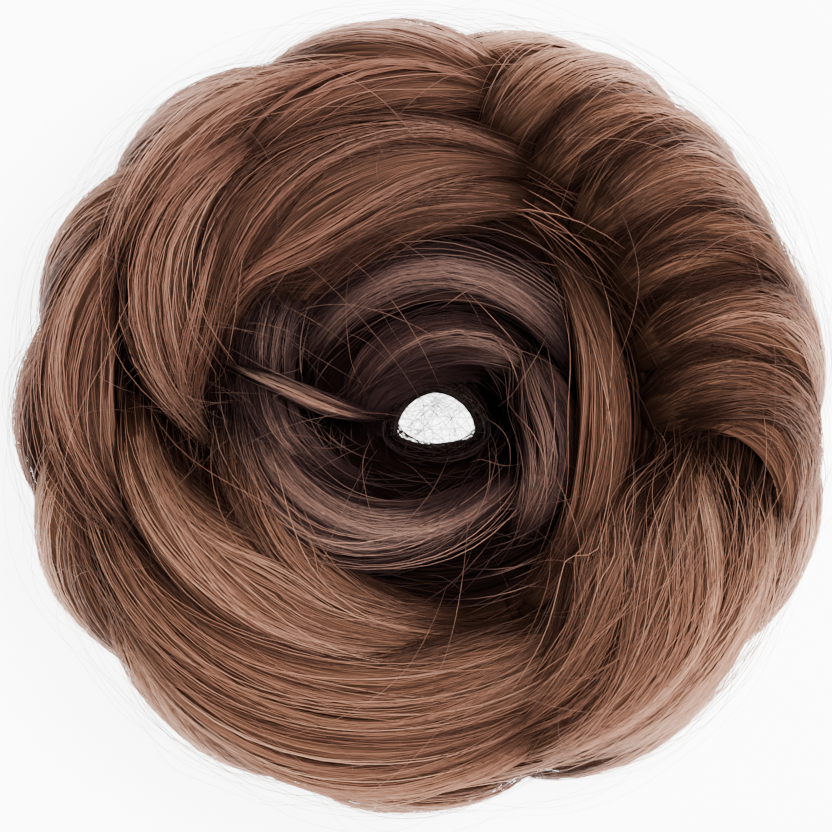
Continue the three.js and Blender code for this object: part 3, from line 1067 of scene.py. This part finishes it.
@dataclass
class StrayHairs:
    """Single hairs that stand off the bun, cross its locks and cross its open middle."""

    flyaways: int = 130
    over_locks: int = 50
    crossing: int = 70
    throat_hairs: int = 220
    frizz: int = 300
    radius: float = 0.034 * MM

    def fringe(self, rng: np.random.Generator) -> tuple[np.ndarray, np.ndarray, np.ndarray, np.ndarray]:
        """Lays fine dark hair round the open middle, which leaves it domed above and flat below.

        Args:
            rng: The seeded source of chance.

        Returns:
            The strands' points, upward directions, half thicknesses and shades.
        """
        count = self.throat_hairs
        s = np.linspace(0, 1, 13)[None, :]
        angle = rng.uniform(0, 360, (count, 1)) + rng.uniform(70, 150, (count, 1)) * s
        out = rng.uniform(0.45 * MM, 3.6 * MM, (count, 1)) + 0.2 * MM * np.sin(2 * np.pi * s + rng.uniform(0, 6.28, (count, 1)))
        x, y = Throat().around(angle, out)
        z = rng.uniform(14, 34, (count, 1)) * MM + rng.normal(0, 3 * MM, (count, 1)) * s + out
        points = np.stack([x, y, z], axis=-1)
        ups = np.broadcast_to(np.array([0.0, 0.0, 1.0]), points.shape)
        radius = np.full(angle.shape, 1.3 * self.radius)
        # Their near-black shades are painted shade of the open middle.
        return points, ups, radius, rng.uniform(0.02, 0.2, (count, 1)) + 0 * angle

    def build(self, shaper: LockShaper) -> bpy.types.Object:
        """Builds the stray hairs as one piece.

        Args:
            shaper: Knows the ring and the top of its hair.

        Returns:
            The finished piece.
        """
        rng = np.random.default_rng(SEED + 50)
        hairs = StrandMesh()
        form = shaper.form
        s = np.linspace(0, 1, 19)[None, :]
        for count, turns, lift in ((self.flyaways, (-20, 60), 1.7 * MM), (self.over_locks, (20, 140), 0.5 * MM)):
            sweep = rng.choice([-1, 1], (count, 1)) * rng.uniform(18, 60, (count, 1))
            angle = rng.uniform(0, 360, (count, 1)) + sweep * s
            turn = rng.uniform(*turns, (count, 1)) + rng.normal(0, 30, (count, 1)) * (s - 0.5)
            height = rng.gamma(2.0, lift, (count, 1)) * np.sin(np.pi * np.clip(s * 1.1, 0, 1))
            height = np.minimum(height, 4.5 * MM) + 0.4 * MM + shaper.top.at(angle.mean(1), turn.mean(1))[:, None]
            height = height + 0.6 * MM * np.sin(2 * np.pi * 1.3 * s + rng.uniform(0, 6.28, (count, 1)))
            points, out = shaper.raised(angle, turn, height)
            taper = np.broadcast_to(self.radius * (1 - 0.7 * smooth(0.7, 1.0, s)), angle.shape)
            hairs.add(eased(points), out, taper, rng.uniform(0.4, 0.75, (count, 1)) + 0 * s)
        hairs.add(*self.fringe(rng))
        count = self.crossing
        start = rng.uniform(0, 360, (count, 1))
        finish = start + rng.uniform(90, 230, (count, 1))
        level = rng.normal(167, 5, (count, 1))
        near, far = form.place(start, level), form.place(finish, level)
        bow = rng.normal(0, 1.8 * MM, (count, 1, 3)) * np.sin(np.pi * s)[..., None]
        points = near + (far - near) * s[..., None] + bow
        up = np.broadcast_to(np.array([0.0, 0.0, 1.0]), points.shape)
        # Their darker shades are painted shade of the open middle.
        hairs.add(points, up, np.full(points.shape[:2], 1.3 * self.radius), rng.uniform(0.15, 0.42, (count, 1)) + 0 * s)
        count = self.frizz
        s = np.linspace(0, 1, 12)[None, :]
        middle = rng.choice([128, 165, -42, 200], (count, 1)) + rng.normal(0, 20, (count, 1))
        heading = rng.uniform(0, 2 * np.pi, (count, 1))
        reach = rng.uniform(7, 18, (count, 1))
        curl = rng.normal(0, 0.5, (count, 1)) * (s - 0.5)
        angle = middle + reach * (s - 0.5) * np.cos(heading + curl)
        turn = rng.uniform(15, 128, (count, 1)) + 1.6 * reach * (s - 0.5) * np.sin(heading + curl)
        height = np.mean(shaper.top.at(angle, turn), axis=1, keepdims=True)
        height = height + rng.uniform(-0.1, 1.0, (count, 1)) * MM + 0.4 * MM * np.sin(np.pi * s)
        points, out = shaper.raised(angle, turn, height)
        taper = np.broadcast_to(0.72 * self.radius * (1 - 0.7 * smooth(0.6, 1.0, s)), angle.shape)
        hairs.add(eased(points), out, taper, rng.uniform(0.25, 0.6, (count, 1)) + 0 * s)
        piece = hairs.joined("stray_hairs")
        piece.data.materials.append(HairFinish("single fibre", Tint.DARK.value).material())
        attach(piece, "root")
        return piece


@dataclass
class Studio:
    """The pale floor, the soft lights and the camera that looks straight down."""

    floor_colour: str = "#F6F6F7"
    floor_glow: float = 7.0
    camera_height: float = 0.95
    frame_width: float = 156 * MM
    frame_pixels: int = 832
    widest_height: float = 24 * MM
    aim: tuple[float, float] = (-1.2 * MM, 0.1 * MM)

    def build(self) -> None:
        """Builds the floor, lights and camera."""
        bpy.ops.mesh.primitive_plane_add(size=4)
        floor = bpy.context.active_object
        floor.name = "floor"
        material = bpy.data.materials.new("white acrylic lit from below")
        material.use_nodes = True
        surface = material.node_tree.nodes["Principled BSDF"]
        surface.inputs["Base Color"].default_value = linear(self.floor_colour)
        surface.inputs["Roughness"].default_value = 0.9
        surface.inputs["Emission Color"].default_value = linear("#FFFFFF")
        surface.inputs["Emission Strength"].default_value = self.floor_glow
        floor.data.materials.append(material)
        self.light("key", (0.3, 0.16, 0.85), 0.4, 33)
        self.light("fill", (0.15, -0.7, 0.6), 0.7, 12)
        world = bpy.data.worlds.new("studio")
        bpy.context.scene.world = world
        world.use_nodes = True
        world.node_tree.nodes["Background"].inputs["Color"].default_value = linear("#FFFFFF")
        world.node_tree.nodes["Background"].inputs["Strength"].default_value = 0.5
        data = bpy.data.cameras.new("camera")
        data.sensor_width = 36
        data.lens = data.sensor_width * (self.camera_height - self.widest_height) / self.frame_width
        camera = bpy.data.objects.new("camera", data)
        camera.location = (*self.aim, self.camera_height)
        bpy.context.collection.objects.link(camera)
        bpy.context.scene.camera = camera

    def light(self, name: str, place: Triple, size: float, power: float) -> None:
        """Adds a square soft light that faces the bun.

        Args:
            name: The light's name.
            place: Where it stands.
            size: The length of its side.
            power: Its power in watts.
        """
        data = bpy.data.lights.new(name, "AREA")
        data.size = size
        data.energy = power
        lamp = bpy.data.objects.new(name, data)
        lamp.location = place
        distance = math.hypot(place[0], place[1])
        lamp.rotation_euler = (math.atan2(distance, place[2]), 0, math.atan2(place[0], -place[1]))
        bpy.context.collection.objects.link(lamp)


def main() -> None:
    """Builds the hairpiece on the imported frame, dresses it and sets up the studio."""
    logging.basicConfig(level=logging.INFO, format="%(name)s: %(message)s")
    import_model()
    form = BunForm()
    shaper = LockShaper(form, HairCut(), Shading())
    all_wefts = wefts()
    for order, weft in enumerate(all_wefts):
        weft.lay(shaper, order)
    shaper.top.settle()
    total = 0
    pieces = [ElasticBand().build(form), StrayHairs().build(shaper)]
    for weft in all_wefts:
        pieces += weft.build(shaper)
    for piece in pieces:
        count = sum(len(face.vertices) - 2 for face in piece.data.polygons)
        total += count
        LOG.info("%s: %d triangles", piece.name, count)
    LOG.info("all pieces: %d triangles", total)
    Studio().build()


if __name__ == "__main__":
    main()
